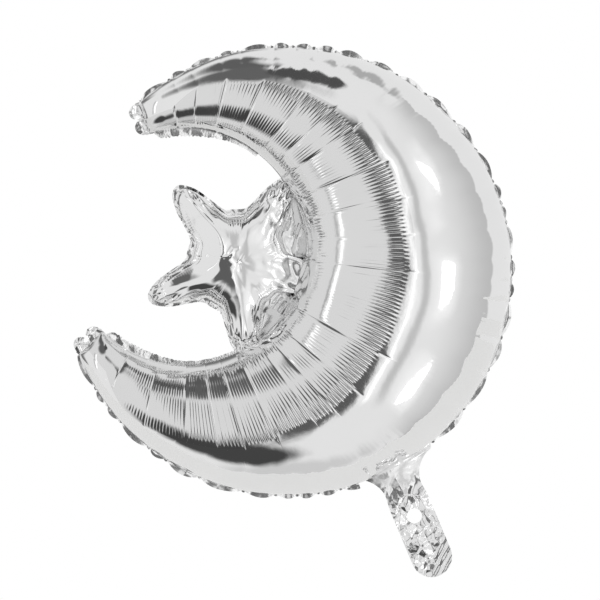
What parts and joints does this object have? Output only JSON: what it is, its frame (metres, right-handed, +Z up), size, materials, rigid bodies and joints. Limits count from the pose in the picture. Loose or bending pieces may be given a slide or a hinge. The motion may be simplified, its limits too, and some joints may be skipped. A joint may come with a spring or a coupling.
{
  "type": "crescent moon and star foil balloon",
  "caption": "Inflated silver foil balloon: a crescent moon holding a puffy five-armed star, with a flat filling tail.",
  "frame": {"origin": "centre of the moon's round outer rim, in the plane of its seam", "axes": "-Y out of the front sheet, towards the viewer; +Z up as it hangs in the picture, with the tail low on the right; +X to the moon's full side"},
  "size_m": [0.3329, 0.1282, 0.4025],
  "materials": {
    "inflated_foil": "bright metallised film, stretched tight",
    "sealed_foil": "bright metallised film, crimped flat",
    "tail_foil": "bright metallised film, loose and crumpled"
  },
  "bodies": {
    "envelope": {"moon_front_sheet": "inflated_foil", "moon_back_sheet": "inflated_foil", "rim_seam_long": "sealed_foil", "rim_seam_short": "sealed_foil", "inner_seam_upper": "sealed_foil", "inner_seam_lower": "sealed_foil", "upper_tip_tab": "sealed_foil", "lower_tip_tab": "sealed_foil", "star_front_sheet": "inflated_foil", "star_back_sheet": "inflated_foil", "star_seam": "sealed_foil", "upper_web": "sealed_foil", "lower_web": "sealed_foil", "neck_root": "sealed_foil"},
    "tail": {"tail_front_layer": "tail_foil", "tail_back_layer": "tail_foil"}
  },
  "joints": [
    {"name": "tail_fold", "type": "hinge", "parent": "envelope", "child": "tail", "pos_m": [0.08854, 0, -0.16681], "axis": [0.9219, 0, 0.3875], "range_deg": [-90, 90]}
  ]
}
